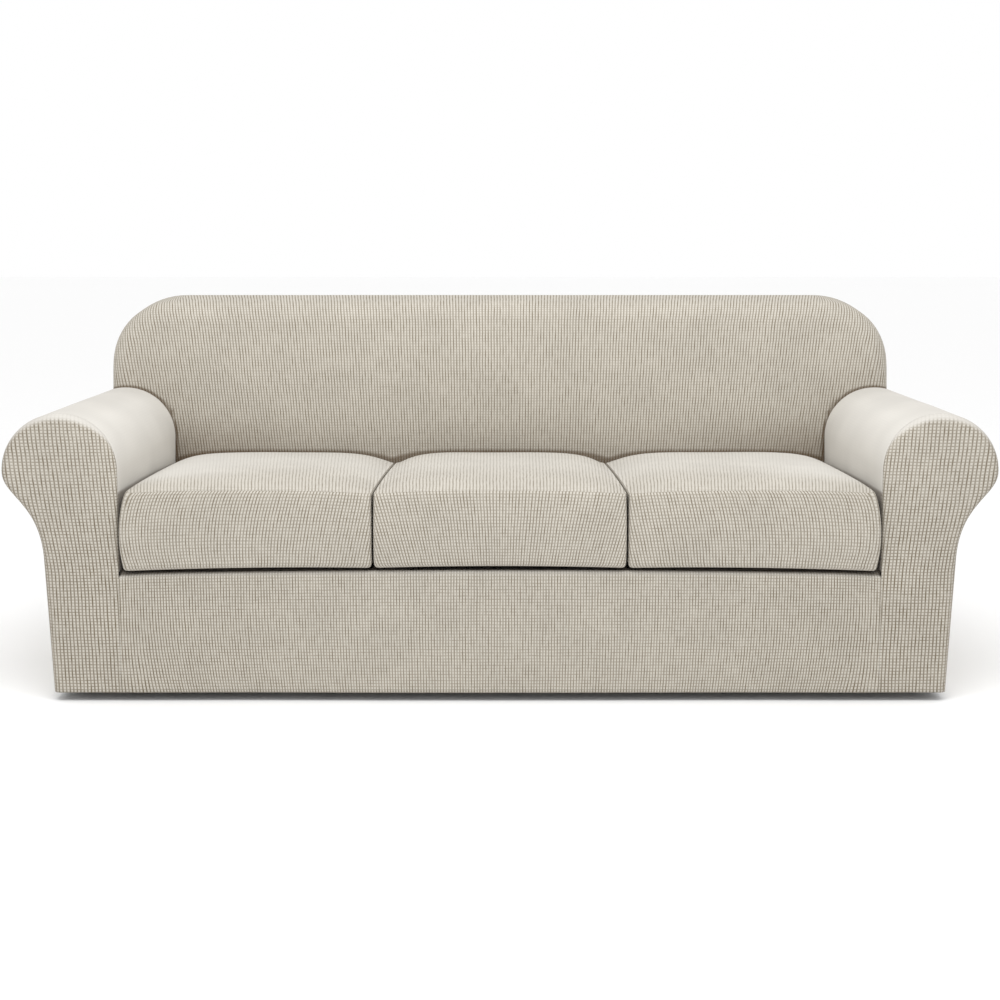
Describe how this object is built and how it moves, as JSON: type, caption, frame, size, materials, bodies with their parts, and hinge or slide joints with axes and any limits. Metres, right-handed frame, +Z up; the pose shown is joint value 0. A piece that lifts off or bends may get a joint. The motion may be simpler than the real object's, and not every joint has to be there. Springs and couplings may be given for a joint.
{
  "type": "sofa slipcover",
  "caption": "Fitted stretch slipcover for a rolled-arm sofa in stone-beige check knit, with separate seat-cushion covers, hollow and in its worn shape.",
  "frame": {"origin": "underside of the cloth over the middle of the back's top, where the cover hangs on what it covers", "axes": "+X to the right as seen from the front, +Y towards the rear, +Z up"},
  "size_m": [2.198, 0.915, 0.856],
  "materials": {
    "check_knit": "matt stretch knit with a small raised check"
  },
  "bodies": {
    "root": {"back_inside": "check_knit", "back_outside": "check_knit", "arm_left": "check_knit", "arm_right": "check_knit", "arm_front_left": "check_knit", "arm_front_right": "check_knit", "front_apron": "check_knit", "seat_deck": "check_knit", "cushion_top_left": "check_knit", "cushion_top_middle": "check_knit", "cushion_top_right": "check_knit", "cushion_band_left": "check_knit", "cushion_band_middle": "check_knit", "cushion_band_right": "check_knit"}
  },
  "joints": []
}
